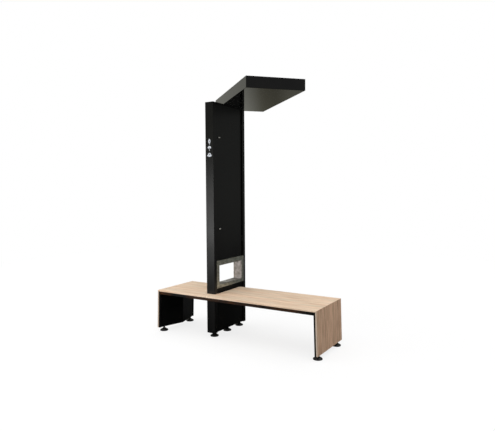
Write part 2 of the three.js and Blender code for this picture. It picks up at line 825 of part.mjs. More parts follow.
doorFrame();
serviceDoor();
hingeLeaf('lower_hinge_leaf', hingeZs[0]);
hingeLeaf('upper_hinge_leaf', hingeZs[1]);
hingePin('lower_hinge_pin', hingeZs[0]);
hingePin('upper_hinge_pin', hingeZs[1]);
lock('lower_lock', lockZs[0]);
lock('upper_lock', lockZs[1]);

batteryBay();
equipment();
towerCables();

swivel();
swivelHub();
headTray();
solarModule();
headCable();

export default bench;
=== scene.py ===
import bpy
import math
from mathutils import Matrix, Vector


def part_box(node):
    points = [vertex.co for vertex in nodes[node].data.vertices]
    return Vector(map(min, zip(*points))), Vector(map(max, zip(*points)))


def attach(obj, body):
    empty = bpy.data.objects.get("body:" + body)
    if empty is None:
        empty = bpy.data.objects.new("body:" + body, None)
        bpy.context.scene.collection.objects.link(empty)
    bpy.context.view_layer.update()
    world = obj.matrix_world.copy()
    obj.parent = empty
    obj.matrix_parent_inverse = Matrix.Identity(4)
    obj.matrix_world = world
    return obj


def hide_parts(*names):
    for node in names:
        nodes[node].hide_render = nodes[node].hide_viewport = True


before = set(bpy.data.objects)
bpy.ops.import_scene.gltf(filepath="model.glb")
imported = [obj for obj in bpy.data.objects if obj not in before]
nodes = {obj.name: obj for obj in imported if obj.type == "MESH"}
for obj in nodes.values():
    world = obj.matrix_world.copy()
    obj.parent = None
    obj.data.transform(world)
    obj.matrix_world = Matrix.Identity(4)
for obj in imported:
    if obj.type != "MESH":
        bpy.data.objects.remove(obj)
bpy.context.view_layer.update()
print("frame loaded:", len(nodes), "nodes")

mm = 0.001  # piece dictionaries are in millimetres, Blender is in metres
onPlace = 0.02 * mm  # what lies closer to a place than this lies on it
facing = 0.9  # a face looks along an axis when its normal has this much of it
spare = 5  # mm that a cutter reaches past what it cuts


# several values of a piece's dictionary at once
def values(piece, names):
    return [piece[name] for name in names.split()]


# colours and shader nodes
def linear(hexColour):
    channels = [int(hexColour[i:i + 2], 16) / 255 for i in (1, 3, 5)]
    return [c / 12.92 if c <= 0.04045 else ((c + 0.055) / 1.055) ** 2.4 for c in channels] + [1]


def addNode(tree, kind, inputs=None, **settings):
    node = tree.nodes.new("ShaderNode" + kind)
    for key, value in settings.items():
        setattr(node, key, value)
    for key, value in (inputs or {}).items():
        if isinstance(value, bpy.types.NodeSocket):
            tree.links.new(value, node.inputs[key])
        else:
            node.inputs[key].default_value = linear(value) if isinstance(value, str) else value
    return node


# camera: standing to the right of the bench with the eyes at 1.5 m
view = {"place": (2.9223, -4.3088, 1.5075), "yaw": 31.67, "pitch": -2.969, "roll": -0.34, "focal": 488.62,
        "frame": 495, "sensor": 36, "reach": 100}


def addToScene(name, data):
    obj = bpy.data.objects.new(name, data)
    bpy.context.scene.collection.objects.link(obj)
    return obj


def placeCamera():
    yaw, pitch, roll = (math.radians(angle) for angle in values(view, "yaw pitch roll"))
    ahead = Vector((-math.sin(yaw) * math.cos(pitch), math.cos(yaw) * math.cos(pitch), math.sin(pitch)))
    right = Vector((math.cos(yaw), math.sin(yaw), 0))
    up = right.cross(ahead)
    right, up = right * math.cos(roll) + up * math.sin(roll), up * math.cos(roll) - right * math.sin(roll)
    lens = bpy.data.cameras.new("camera")
    lens.sensor_width = view["sensor"]
    lens.lens = view["focal"] / view["frame"] * view["sensor"]
    lens.clip_end = view["reach"]
    camera = addToScene("camera", lens)
    camera.matrix_world = Matrix.Translation(view["place"]) @ Matrix((right, up, -ahead)).transposed().to_4x4()
    bpy.context.scene.camera = camera


placeCamera()
print("camera placed")


# modelling by hand: each helper is one or two of Blender's own tools
def selectNothing():
    if bpy.context.mode != "OBJECT":
        bpy.ops.object.mode_set(mode="OBJECT")
    bpy.ops.object.select_all(action="DESELECT")


def alone(obj):
    selectNothing()
    obj.select_set(True)
    bpy.context.view_layer.objects.active = obj


def editAll(obj, kind="FACE"):
    alone(obj)
    bpy.ops.object.mode_set(mode="EDIT")
    bpy.ops.mesh.select_mode(type=kind)
    bpy.ops.mesh.select_all(action="SELECT")


# selects corners, edges or faces by their middle and their normal (for an edge: its run)
def pick(obj, kind, test):
    editAll(obj, kind)
    bpy.ops.mesh.select_all(action="DESELECT")
    bpy.ops.object.mode_set(mode="OBJECT")
    points = obj.data.vertices
    if kind == "FACE":
        for face in obj.data.polygons:
            face.select = test(face.center, face.normal)
    elif kind == "EDGE":
        for edge in obj.data.edges:
            a, b = (points[i].co for i in edge.vertices)
            edge.select = test((a + b) / 2, b - a)
    else:
        for point in points:
            point.select = test(point.co, point.normal)
    bpy.ops.object.mode_set(mode="EDIT")


def isAt(value, place):
    return abs(value - place * mm) < onPlace


# selects the corners at a place, given along one axis or more
def pickCorners(obj, **place):
    pick(obj, "VERT", lambda at, normal: all(isAt(getattr(at, axis), value) for axis, value in place.items()))


# selects the faces that look one way, such as "+z", or both ways along an axis, such as "z"
def pickFacing(obj, way):
    i, sign = "xyz".index(way[-1]), {"+": 1, "-": -1}.get(way[0])
    pick(obj, "FACE", lambda place, normal: (sign * normal[i] if sign else abs(normal[i])) > facing)


def slide(x=0, y=0, z=0):
    bpy.ops.transform.translate(value=(x * mm, y * mm, z * mm))


def extrude(x=0, y=0, z=0):
    bpy.ops.mesh.extrude_region_move(TRANSFORM_OT_translate={"value": (x * mm, y * mm, z * mm)})


def inset(width):
    bpy.ops.mesh.inset(thickness=width * mm)


def stretch(x=1, y=1, z=1, centre=None):
    about = {"center_override": [c * mm for c in centre]} if centre else {}
    bpy.ops.transform.resize(value=(x, y, z), **about)


def bevelPicked(radius, segments=3):
    bpy.ops.mesh.bevel(offset=radius * mm, segments=segments, affect="EDGES")


# rounds the edges that run along one axis
def roundCorners(obj, axis, radius, segments=3):
    i = "xyz".index(axis)
    pick(obj, "EDGE", lambda place, run: abs(run[i]) > onPlace)
    bevelPicked(radius, segments)


# the primitive just added gets its name, and its place and size go into its mesh
def settle(name):
    obj = bpy.context.active_object
    obj.name = name
    bpy.ops.object.transform_apply(location=True, rotation=True, scale=True)
    return obj


# a box between any two opposite corners
def startBox(name, corner, opposite):
    selectNothing()
    bpy.ops.mesh.primitive_cube_add(size=1, location=[(a + b) / 2 * mm for a, b in zip(corner, opposite)],
                                    scale=[abs(b - a) * mm for a, b in zip(corner, opposite)])
    return settle(name)


# a box within the four sides of a piece, drawn in by a margin
def startSlab(name, piece, low, high, margin=0):
    return startBox(name, (piece["left"] + margin, piece["near"] + margin, low),
                    (piece["right"] - margin, piece["far"] - margin, high))


# a turned shape: a short cylinder whose top face is drawn up, in and down again through (radius, height) steps
def startTurned(name, steps, sides=48, place=(0, 0, 0)):
    x, y, z = place
    selectNothing()
    (radius, base), (_, height) = steps[:2]
    bpy.ops.mesh.primitive_cylinder_add(vertices=sides, radius=radius * mm, depth=(height - base) * mm,
                                        location=(x * mm, y * mm, (z + (base + height) / 2) * mm))
    obj = settle(name)
    pick(obj, "FACE", lambda middle, normal: isAt(middle.z, z + height))
    for wide, high in steps[1:]:
        if high > height:
            extrude(z=high - height)
        stretch(wide / radius, wide / radius, centre=(x, y, z + high))
        radius, height = wide, high
    return obj


def transformMesh(obj, matrix):
    alone(obj)
    obj.data.transform(matrix)
    return obj


def moveTo(obj, shift):
    return transformMesh(obj, Matrix.Translation([s * mm for s in shift]))


def turnAbout(obj, degrees, axis):
    return transformMesh(obj, Matrix.Rotation(math.radians(degrees), 4, axis))


def modify(obj, kind, **settings):
    alone(obj)
    step = obj.modifiers.new(kind.title(), kind)
    for key, value in settings.items():
        setattr(step, key, value)
    bpy.ops.object.modifier_apply(modifier=step.name)
    return obj


def roundEdges(obj, width, segments=2, angle=35):
    return modify(obj, "BEVEL", width=width * mm, segments=segments, limit_method="ANGLE",
                  angle_limit=math.radians(angle), use_clamp_overlap=True)


def combine(obj, others, operation):
    for other in others:
        modify(obj, "BOOLEAN", operation=operation, solver="EXACT", object=other)
        bpy.data.objects.remove(other)
    return obj


def cutAway(obj, *cutters):
    return combine(obj, cutters, "DIFFERENCE")


def weldOn(obj, *parts):
    return combine(obj, parts, "UNION")


def joinAll(name, pieces):
    alone(pieces[0])
    for piece in pieces[1:]:
        piece.select_set(True)
    bpy.ops.object.join()
    pieces[0].name = name
    return pieces[0]


# one copy of a model at each place, each with its own mesh, and the model itself goes
def copyTo(model, places):
    selectNothing()
    copies = [moveTo(addToScene(model.name, model.data.copy()), place) for place in places]
    bpy.data.objects.remove(model)
    return copies


def spaced(middle, pitch, count):
    return [middle + (i - (count - 1) / 2) * pitch for i in range(count)]


def faceOutwards(obj):
    editAll(obj)
    bpy.ops.mesh.normals_make_consistent(inside=False)
    return obj


# hollows a solid through along one axis, leaving a wall of this thickness
def hollowThrough(obj, axis, wall):
    pickFacing(obj, axis)
    inset(wall)
    bpy.ops.mesh.bridge_edge_loops()
    return faceOutwards(obj)


# a rolled square tube: long edges rounded first, then both ends hollowed through
def startTube(name, low, high, axis, wall, corner):
    tube = startBox(name, low, high)
    roundCorners(tube, axis, corner)
    return hollowThrough(tube, axis, wall)


def startRing(name, inner, outer, low, high, place=(0, 0, 0)):
    return hollowThrough(startTurned(name, [(outer, low), (outer, high)], 48, place), "z", outer - inner)


# the piece that stands for a CAD node is named after it, as in frontRail for front_rail
def pieceName(node):
    first, *others = node.split("_")
    return first + "".join(other.title() for other in others)


finishes = {}
smoothAngle = 50  # degrees between faces that still shade as one


def finishPiece(obj, finish, node=None, body="bench"):
    alone(obj)
    bpy.ops.object.shade_smooth_by_angle(angle=math.radians(smoothAngle))
    modify(obj, "WEIGHTED_NORMAL", keep_sharp=True)  # flat sheets stay flat beside their rounded edges
    material, slot = finishes[finish]
    obj.data.materials.clear()
    obj.data.materials.append(material)
    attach(obj, body)
    if node:
        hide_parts(node)


def emptyTree(owner):
    owner.use_nodes = True
    owner.node_tree.nodes.clear()
    return owner.node_tree


def newMaterial(name, slot):
    material = bpy.data.materials.new(name)
    finishes[name] = (material, slot)
    return emptyTree(material)


# cloudy noise on the piece's own place, with cells that are that many mm along X, Y and Z
def noise(tree, sizes, detail, roughness=0.5):
    place = addNode(tree, "TexCoord").outputs["Object"]
    place = addNode(tree, "Mapping", {"Vector": place, "Scale": [1 / (size * mm) for size in sizes]}).outputs[0]
    cloud = addNode(tree, "TexNoise", {"Vector": place, "Scale": 1, "Detail": detail, "Roughness": roughness})
    return cloud.outputs[0]


# a second colour over the first: none of it where the pattern is below low, and the most of it above high
def tint(tree, pattern, low, high, first, second, most=1):
    factor = addNode(tree, "MapRange", {"Value": pattern, "From Min": low, "From Max": high, "To Max": most}).outputs[0]
    return addNode(tree, "Mix", {0: factor, 6: first, 7: second}, data_type="RGBA").outputs[2]


# gloss is a pattern and the roughness at its two ends; bump is a pattern, how strong it is and how many mm deep
def endMaterial(tree, colour, inputs, gloss=None, bump=None):
    inputs["Base Color"] = colour
    if gloss:
        pattern, low, high = gloss
        inputs["Roughness"] = addNode(tree, "MapRange", {"Value": pattern, "From Min": 0.3, "From Max": 0.7,
                                                         "To Min": low, "To Max": high}).outputs[0]
    if bump:
        height, strength, deep = bump
        relief = addNode(tree, "Bump", {"Height": height, "Strength": strength, "Distance": deep * mm})
        inputs["Normal"] = relief.outputs[0]
    shader = addNode(tree, "BsdfPrincipled", inputs)
    addNode(tree, "OutputMaterial", {"Surface": shader.outputs[0]})


# oiled oak, planed and brushed: warm pale straw with long fine streaks, satin, pores that only just show;
# each figure of the grain is so many mm wide and so many times longer
oak = {"bands": (90, 7), "streaks": (30, 11), "fine": (9, 19), "pores": (1.6, 16)}


# each board has five tones of its own, a share for its dark streaks and a scale for its figure
def makeOiledOak(name, along, pale, mid, dark, pore, grey, tone, figure):
    tree = newMaterial(name, "oiled_wood")

    def grain(part, detail, roughness=0.5):
        wide, longer = oak[part]
        wide *= figure
        long = wide * longer / figure ** 3
        return noise(tree, [long if axis == along else wide for axis in "xyz"], detail, roughness)

    bands, streaks = grain("bands", 2), grain("streaks", 3, 0.6)
    fine, pores = grain("fine", 3, 0.6), grain("pores", 2, 0.7)
    colour = tint(tree, streaks, 0.38, 0.6, pale, mid)
    colour = tint(tree, bands, 0.42, 0.66, colour, grey, 0.7)
    colour = tint(tree, streaks, 0.5, 0.64, colour, dark, tone)
    colour = tint(tree, fine, 0.5, 0.7, colour, dark, tone)
    colour = tint(tree, pores, 0.6, 0.74, colour, pore, 0.35)
    endMaterial(tree, colour, {"Specular IOR Level": 0.35}, (fine, 0.5, 0.62), (pores, 0.25, 0.25))


# polyester powder coat on steel: deep black, half gloss, with a faint orange peel a few mm across
def makePowderCoat(name, colour, slot="black_paint", gloss=(0.26, 0.36), level=0.3, peel=3.2, relief=0.02):
    tree = newMaterial(name, slot)
    clouds, skin = noise(tree, (240, 240, 420), 3), noise(tree, (peel, peel, peel), 1)
    shade = tint(tree, clouds, 0.35, 0.65, colour, "#0e0e0d")
    endMaterial(tree, shade, {"Specular IOR Level": level}, (clouds, *gloss), (skin, relief, 0.2))


# brushed stainless sheet: lines along it, drawn 0.9 mm wide so that they show, clouded by handling and weather
def makeBrushedStainless(name, clean, dull, line):
    tree = newMaterial(name, "stainless")
    lines, clouds = noise(tree, (0.9, 70, 0.9), 2, 0.6), noise(tree, (26, 60, 26), 4, 0.65)
    shade = tint(tree, lines, 0.35, 0.7, tint(tree, clouds, 0.38, 0.62, clean, dull), line, 0.3)
    endMaterial(tree, shade, {"Metallic": 1}, (clouds, 0.34, 0.52), (lines, 0.12, 0.05))


# plated, oxidised and anodised metals: smooth with a soft cloud in tone and gloss, each in its own colour
def makePlatedMetal(name, colour, worn, rough, slot="bright_steel"):
    tree = newMaterial(name, slot)
    clouds = noise(tree, (14, 14, 14), 3)
    shade = tint(tree, clouds, 0.35, 0.7, colour, worn)
    endMaterial(tree, shade, {"Metallic": 1}, (clouds, rough, rough + 0.12), (clouds, 0.05, 0.1))


# moulded plastics and rubber: nearly even colour, with a spark-eroded grain drawn coarse enough to show
def makeMoulded(name, colour, worn, rough, slot="dark_plastic", grain=0.9, relief=0.18):
    tree = newMaterial(name, slot)
    skin, clouds = noise(tree, (grain, grain, grain), 1), noise(tree, (60, 60, 60), 2)
    shade = tint(tree, clouds, 0.35, 0.65, colour, worn)
    endMaterial(tree, shade, {}, (clouds, rough, rough + 0.1), (skin, relief, 0.08))


# silicon cells behind tempered glass: blue-black, faintly crystalline, under a clear and very smooth coat
def makeCellGlass(name, colour, worn, rough):
    tree = newMaterial(name, "solar_glass")
    shade = tint(tree, noise(tree, (30, 30, 30), 2), 0.35, 0.65, colour, worn)
    endMaterial(tree, shade, {"Roughness": rough, "Coat Weight": 1, "Coat Roughness": 0.04})


makeOiledOak("oiledOakAlong", "x", "#fce0c5", "#efcfb0", "#cea98b", "#9a7857", "#e1d1b9", 0.4, 1)
# the end boards get a darker, redder copy of the oak: painted shade for their side turned from the light
makeOiledOak("oiledOakShadedUpright", "z", "#eac4a4", "#d4ae8f", "#9f7b61", "#7d5b43", "#bfa388", 0.9, 0.42)
# a paler, greyer oak for the end boards' upright edges: painted light on those edges
makeOiledOak("oiledOakEdgePaintedLight", "z", "#d2c1af", "#c4b19e", "#a8917c", "#8d7967", "#c2b5a6", 0.4, 0.6)
makePowderCoat("powderCoatBlack", "#080808", level=0.25)
# a darker, duller copy of the black coat: painted shade on the lower panels under the seat and window
makePowderCoat("powderCoatMattShaded", "#060606", gloss=(0.5, 0.62), level=0.15)
# a brown-black coat for the rails: the brown is painted shade, the seat board's wood edge in shadow above them
makePowderCoat("railBrownPaintedShade", "#462b18", level=0.25)
makePowderCoat("powderCoatHead", "#060606", gloss=(0.05, 0.09), level=0.25, relief=0.006)
makePowderCoat("primedSteel", "#131312", slot="primed_steel", gloss=(0.45, 0.6), level=0.4)
makeBrushedStainless("brushedStainless", "#c5c7ba", "#8d8e81", "#e0e2d8")
# a darker, pinker copy of the stainless for the sheet inside the opening: painted shade and reflection there
makeBrushedStainless("brushedLinerPaintedShade", "#a09a97", "#716c67", "#b4afab")
makePlatedMetal("zincPlate", "#d2d2ce", "#a9a9a4", 0.22)
makePlatedMetal("satinNickel", "#f0eee8", "#dcdad2", 0.45)
makePlatedMetal("blackOxide", "#2c2c2a", "#222221", 0.4)
makePlatedMetal("anodisedAluminium", "#c9cbcd", "#b4b6b8", 0.34, "aluminium")
makeMoulded("footPolymer", "#0d0d0d", "#171716", 0.42, "foot_polymer")
makeMoulded("sealRubber", "#0b0b0b", "#151515", 0.8, "seal_rubber", relief=0.1)
makeMoulded("darkAbs", "#1c1d1f", "#26272a", 0.45)
makeMoulded("greySilicone", "#a5a39c", "#8f8d86", 0.55, grain=2.2)
makeMoulded("paleAbs", "#c9c9c4", "#b9b9b3", 0.4)
makeMoulded("portTongue", "#2f4f8f", "#28437b", 0.35)
makeMoulded("batteryCase", "#2f4a63", "#37566f", 0.32, "battery_case")
makeMoulded("terminalRed", "#a3291f", "#8f231b", 0.4, "battery_case")
makeMoulded("cableJacket", "#0c0c0c", "#161616", 0.55, "cable_jacket", grain=1.6)
makeMoulded("whiteFilm", "#e2e6ec", "#d6dbe2", 0.4, "black_paint", relief=0.02)
makeMoulded("displayPane", "#3c4a40", "#46554a", 0.12, relief=0.02)
makeMoulded("fuseRed", "#b23a2c", "#a03022", 0.3)
makeMoulded("fuseBlue", "#2f62a8", "#28558f", 0.3)
makeMoulded("fuseYellow", "#d9b02f", "#c79f25", 0.3)
makeMoulded("backSheet", "#101216", "#14171c", 0.3, "solar_glass")
makeCellGlass("siliconCell", "#0c1424", "#101b30", 0.25)
makePlatedMetal("cellRibbon", "#b9bcc2", "#9fa3aa", 0.3, "solar_glass")
print("materials made:", len(finishes))

# the CAD nodes that keep their own mesh get a finish too
nodeFinish = {
    "primedSteel": ["left_foot_plate", "right_foot_plate", "base_plate", "door_frame", "upper_hinge_leaf",
                    "lower_hinge_leaf", "battery_shelf", "equipment_plate", "swivel_spigot", "swivel_hub",
                    "left_head_rail", "right_head_rail"],
    "zincPlate": ["upper_hinge_pin", "lower_hinge_pin", "swivel_cap"],
    "sealRubber": ["door_seal"],
    "darkAbs": ["bearing_ring"],
    "cableJacket": ["tower_cable", "usb_lead", "head_cable"],
}
for finish, names in nodeFinish.items():
    for name in names:
        nodes[name].data.materials.clear()
        nodes[name].data.materials.append(finishes[finish][0])
print("CAD nodes dressed")

# seat: two mitred corners and a notch that the tower stands in
seat = {"left": -610, "right": 1220, "near": -415, "far": 175, "top": 450, "board": 14, "mitre": 13.592,
        "notchHalf": 53, "notchNear": -298, "arris": 1.2}


def makeSeatBoard():
    top, thick, far, half, notchNear = values(seat, "top board far notchHalf notchNear")
    under = top - thick
    board = startSlab("seatBoard", seat, under, top)
    for end, inward in ((seat["left"], 1), (seat["right"], -1)):
        pickCorners(board, z=under, x=end)
        slide(x=inward * seat["mitre"])
    cutAway(board, startBox("notch", (-half, notchNear, under - spare), (half, far + spare, top + spare)))
    roundEdges(board, seat["arris"])
    finishPiece(board, "oiledOakAlong", "seat_board")


# end boards lean out to the floor: wood outside, a folded steel shell with a ridge inside
leg = {"lean": 12, "top": 449.4, "bottom": 44, "board": 14.006, "boardDrop": 14, "shellGap": 14.306, "shellTop": 436,
       "shellEnds": (-412, 172), "flange": 18, "flat": 32, "ridge": 75, "sheet": 3, "foldRadius": 4}


def leanOut(obj, outward, top):
    slope = leg["lean"] / (seat["top"] - leg["bottom"])
    for height in (leg["bottom"], top):
        pickCorners(obj, z=height)
        slide(x=outward * slope * (seat["top"] - height))


def makeEndBoard(node, end, outward):
    thick, low, high = values(leg, "board bottom top")
    inner = end - outward * thick
    board = startBox(pieceName(node), (end, seat["near"], low), (inner, seat["far"], high))
    pickCorners(board, z=high, x=inner)
    slide(z=-leg["boardDrop"])
    leanOut(board, outward, high)
    roundEdges(board, seat["arris"])
    # the end board takes the darker, redder oak copy: painted shade
    finishPiece(board, "oiledOakShadedUpright", node)
    board.data.materials.append(finishes["oiledOakEdgePaintedLight"][0])
    for face in board.data.polygons:  # both upright edges get a paler, greyer oak: painted light on the edges
        face.material_index = int(abs(face.normal.y) > facing)


def makeLegShell(node, end, outward):
    gap, flange, flat, (first, last), low, high = values(leg, "shellGap flange flat shellEnds bottom shellTop")
    back, middle = end - outward * gap, (first + last) / 2
    front = back - outward * flange
    shell = startBox(pieceName(node), (back, first, low), (front, last, high))
    for y in (first + flat, middle, last - flat):
        editAll(shell)
        bpy.ops.mesh.bisect(plane_co=(0, y * mm, 0), plane_no=(0, 1, 0))
    pickCorners(shell, y=middle, x=front)
    slide(x=-outward * leg["ridge"])
    pickFacing(shell, "z")
    bpy.ops.mesh.delete(type="FACE")
    pick(shell, "EDGE", lambda place, run: abs(run.z) > onPlace and (
        not isAt(place.x, back) or isAt(place.y, first) or isAt(place.y, last)))
    bevelPicked(leg["foldRadius"])
    modify(shell, "SOLIDIFY", thickness=leg["sheet"] * mm, offset=-1, use_even_offset=True)
    leanOut(shell, outward, high)
    finishPiece(shell, "powderCoatBlack", node)


makeSeatBoard()
for word, end, outward in (("left", seat["left"], -1), ("right", seat["right"], 1)):
    makeEndBoard(word + "_end_board", end, outward)
    makeLegShell(word + "_leg_shell", end, outward)
print("seat and legs made")

# welded underframe of square tube; the rails beside the tower have a lug each that meets it
rail = {"size": 30, "wall": 2, "corner": 3, "lugYs": (102, 142), "lugXs": (35, 51), "lugInset": 0.5,
        "along": {"x": ["front_rail", "left_rear_rail", "right_rear_rail"],
                  "y": ["left_tower_rail", "right_tower_rail", "middle_rail"]},
        "lugSide": {"left_tower_rail": -1, "right_tower_rail": 1}}


def makeRail(node, axis):
    low, high = ([c / mm for c in corner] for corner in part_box(node))
    side = rail["lugSide"].get(node)
    size, wall, corner, (inner, outer), (first, last), trim = values(rail, "size wall corner lugXs lugYs lugInset")
    if side:  # the node's box holds the lug too
        end = high[0] if side > 0 else low[0]
        low[0], high[0] = sorted((end, end - side * size))
    tube = startTube(pieceName(node), low, high, axis, wall, corner)
    if side:
        weldOn(tube, startBox("lug", (side * inner, first, low[2] + trim), (side * outer, last, high[2] - trim)))
    # the rails take the brown-black coat: painted shade of the wood edge above
    finishPiece(tube, "railBrownPaintedShade", node)


for axis, names in rail["along"].items():
    for name in names:
        makeRail(name, axis)
print("underframe made")

# tower: two square posts under a top plate with the head's stop pin
tower = {"half": 50, "halfWide": 295, "post": 45, "floor": 44, "top": 2387, "wall": 3, "corner": 3.5,
         "plateTop": 2395, "plateEdge": 0.8, "cableHole": 14, "holeY": 245, "pinY": 209,
         "pin": [(4, 2391), (4, 2408), (3, 2409)]}
# sheet panels recessed between the posts, with a fillet of weld in each corner
panel = {"out": 35, "in": 33, "edge": 0.4, "bead": 4, "beadSunk": (1, 0.5), "beadHollow": 2.2,
         "beadEdge": (0.6, 1, 20), "inner": 250,
         # the lower panels take the darker, duller coat: painted shade
         "lower": {"sheet": (44, 532.7), "bead": (44, 501), "finish": "powderCoatMattShaded"},
         "upper": {"sheet": (737.3, 2387), "bead": (786, 2387), "finish": "powderCoatBlack"},
         "screwYs": (-209, 209), "screwZs": (106, 380)}


def makePosts():
    half, wide, post, low, high, wall, corner = values(tower, "half halfWide post floor top wall corner")
    for node, y in (("front_post", -wide), ("rear_post", wide - post)):
        tube = startTube(pieceName(node), (-half, y, low), (half, y + post, high), "z", wall, corner)
        finishPiece(tube, "powderCoatBlack", node)


def makeTopPlate():
    half, wide, low, high, hole = values(tower, "half halfWide top plateTop cableHole")
    plate = startBox("topPlate", (-half, -wide, low), (half, wide, high))
    roundCorners(plate, "z", tower["corner"])
    roundEdges(plate, tower["plateEdge"])
    cutAway(plate, startTurned("hole", [(hole, low - spare), (hole, high + spare)], place=(0, tower["holeY"], 0)))
    weldOn(plate, startTurned("stopPin", tower["pin"], 24, (0, tower["pinY"], 0)))
    finishPiece(plate, "powderCoatBlack", "top_plate")


def makeWeldBead(side, end, low, high):
    out, inner, size, (sunkX, sunkY), hollow = values(panel, "out inner bead beadSunk beadHollow")
    tipX, tipY = side * (out + size), end * (inner - size)
    bead = startBox("bead", (side * (out - sunkX), end * (inner + sunkY), low), (tipX, tipY, high))
    pickCorners(bead, x=tipX, y=tipY)
    slide(x=-side * hollow, y=end * hollow)
    return roundEdges(bead, *panel["beadEdge"])


def makePanel(node, side, part):
    back, face, inner = values(panel, "in out inner")
    low, high = part["sheet"]
    sheet = roundEdges(startBox("sheet", (side * face, -inner, low), (side * back, inner, high)), panel["edge"], 1)
    beads = [makeWeldBead(side, end, *part["bead"]) for end in (-1, 1)]
    finishPiece(joinAll(pieceName(node), [sheet] + beads), part["finish"], node)


# button-head screws, turned once and copied: a domed head with a hexagon socket, in shares of its radius and height
screw = {"head": 6, "height": 3, "sides": 28, "profile": [(1, 0), (1, 0.25), (0.86, 0.7), (0.6, 1)],
         "socket": 0.4, "socketFloor": 0.4}


def makeScrews(name, side, places, finish, head=screw["head"]):
    high, across = screw["height"] * head / screw["head"], screw["socket"] * head
    model = startTurned("screw", [(head * wide, high * up) for wide, up in screw["profile"]], screw["sides"])
    cutAway(model, startTurned("key", [(across, high * screw["socketFloor"]), (across, high + spare)], 6))
    turnAbout(model, 90 * side, "Y")
    finishPiece(joinAll(name, copyTo(model, places)), finish)


makePosts()
makeTopPlate()
makePanel("right_lower_panel", 1, panel["lower"])
makePanel("left_lower_panel", -1, panel["lower"])
makePanel("left_upper_panel", -1, panel["upper"])
for word, side in (("right", 1), ("left", -1)):
    places = [(side * panel["out"], y, z) for y in panel["screwYs"] for z in panel["screwZs"]]
    makeScrews(word + "PanelScrews", side, places, "blackOxide")
print("tower made")

# charging window: a stainless liner through the tower with a flat flange at each side
window = {"outer": 257.5, "low": 502, "high": 785, "hole": 210.5, "holeLow": 535, "holeHigh": 735, "sheet": 2,
          "lipIn": 35.3, "lipHalf": 249.7, "coreLap": 1, "socket": (22.3, 621.7, 648.3), "edge": 0.7,
          "screw": 3.5, "screwInset": 11, "insideBy": (-0.1, 0.5, 3)}


def startFlange(name, side):
    wide, low, high, sheet, half = values(window, "outer low high sheet lipHalf")
    face, outer, inner = (side * x for x in (tower["half"], tower["half"] + sheet, window["lipIn"]))
    flange = startBox(name, (face, -wide, low), (outer, wide, high))
    return weldOn(flange, *[startBox("lip", (inner, -half, z), (outer, half, z + sheet)) for z in (low, high - sheet)])


def makeWindow():
    sheet, hole, low, high = values(window, "sheet hole holeLow holeHigh")
    half, wide = tower["half"], hole + sheet
    liner = startFlange("windowLiner", 1)
    weldOn(liner, startBox("core", (-half, -wide, low - sheet), (half + window["coreLap"], wide, high + sheet)))
    leftFlange = startFlange("windowLeftFlange", -1)
    for part in (liner, leftFlange):
        cutAway(part, startBox("opening", (-half - spare, -hole, low), (half + spare, hole, high)))
    across, under, over = window["socket"]
    cutAway(liner, startBox("socketHole", (-across, -hole - spare, under), (across, -hole + spare, over)))
    for part, node in ((liner, "window_tunnel"), (leftFlange, "window_left_frame")):
        roundEdges(part, window["edge"])
        finishPiece(part, "brushedStainless", node)
    liner.data.materials.append(finishes["brushedLinerPaintedShade"][0])
    overX, overY, overZ = window["insideBy"]
    for face in liner.data.polygons:  # the sheet inside the opening gets the darker, pinker copy: painted shade and reflection
        x, y, z = (c / mm for c in face.center)
        inside = x < half + sheet + overX and abs(y) < wide + overY and low - overZ < z < high + overZ
        face.material_index = int(inside)
    ys = [share * (window["outer"] - window["screwInset"]) for share in (-1, 0, 1)]
    zs = [window["low"] + window["screwInset"], window["high"] - window["screwInset"]]
    for word, side in (("right", 1), ("left", -1)):
        places = [(side * (half + sheet), y, z) for y in ys for z in zs]
        makeScrews(word + "FlangeScrews", side, places, "brushedStainless", window["screw"])


chargingPad = {"left": -40, "right": 40, "near": -85, "far": 85, "zs": (535, 539), "corner": (14, 8), "edge": 0.8,
               "rings": ((16, 18), (26, 28)), "grooveZs": (538.5, 541)}


def makeChargingPad():
    pad = startSlab("chargingPad", chargingPad, *chargingPad["zs"])
    roundCorners(pad, "z", *chargingPad["corner"])
    roundEdges(pad, chargingPad["edge"])
    for inner, outer in chargingPad["rings"]:
        cutAway(pad, startRing("groove", inner, outer, *chargingPad["grooveZs"]))
    finishPiece(pad, "greySilicone", "charging_pad")


usb = {"face": -207.5, "back": -210.5, "bezelHalf": 28, "bezelZs": (616, 654), "corner": (5, 5), "edge": 0.8,
       "bodyHalf": 22, "bodyZs": (622, 648), "bodyBack": -234.5, "bodyFront": -209.5, "portXs": (-10, 10),
       "port": (6.5, (632, 638), 12), "tongue": (4.5, (635.4, 637.2), 9), "tongueEdge": 0.3}  # half width, Zs, depth


def makeUsbSocket():
    half, (low, high), back, face = values(usb, "bezelHalf bezelZs back face")
    bezel = startBox("usbSocket", (-half, back, low), (half, face, high))
    roundCorners(bezel, "y", *usb["corner"])
    half, (low, high), back, front = values(usb, "bodyHalf bodyZs bodyBack bodyFront")
    weldOn(bezel, startBox("body", (-half, back, low), (half, front, high)))
    roundEdges(bezel, usb["edge"])
    (half, (under, over), deep), (side, (low, high), reach) = values(usb, "port tongue")
    back, tongues = face - deep, []
    for x in usb["portXs"]:
        cutAway(bezel, startBox("port", (x - half, back, under), (x + half, face + spare, over)))
        tongues.append(startBox("tongue", (x - side, back, low), (x + side, back + reach, high)))
        roundEdges(tongues[-1], usb["tongueEdge"])
    finishPiece(bezel, "paleAbs", "usb_socket")
    finishPiece(joinAll("usbTongues", tongues), "portTongue")


makeWindow()
makeChargingPad()
makeUsbSocket()
print("charging window made")

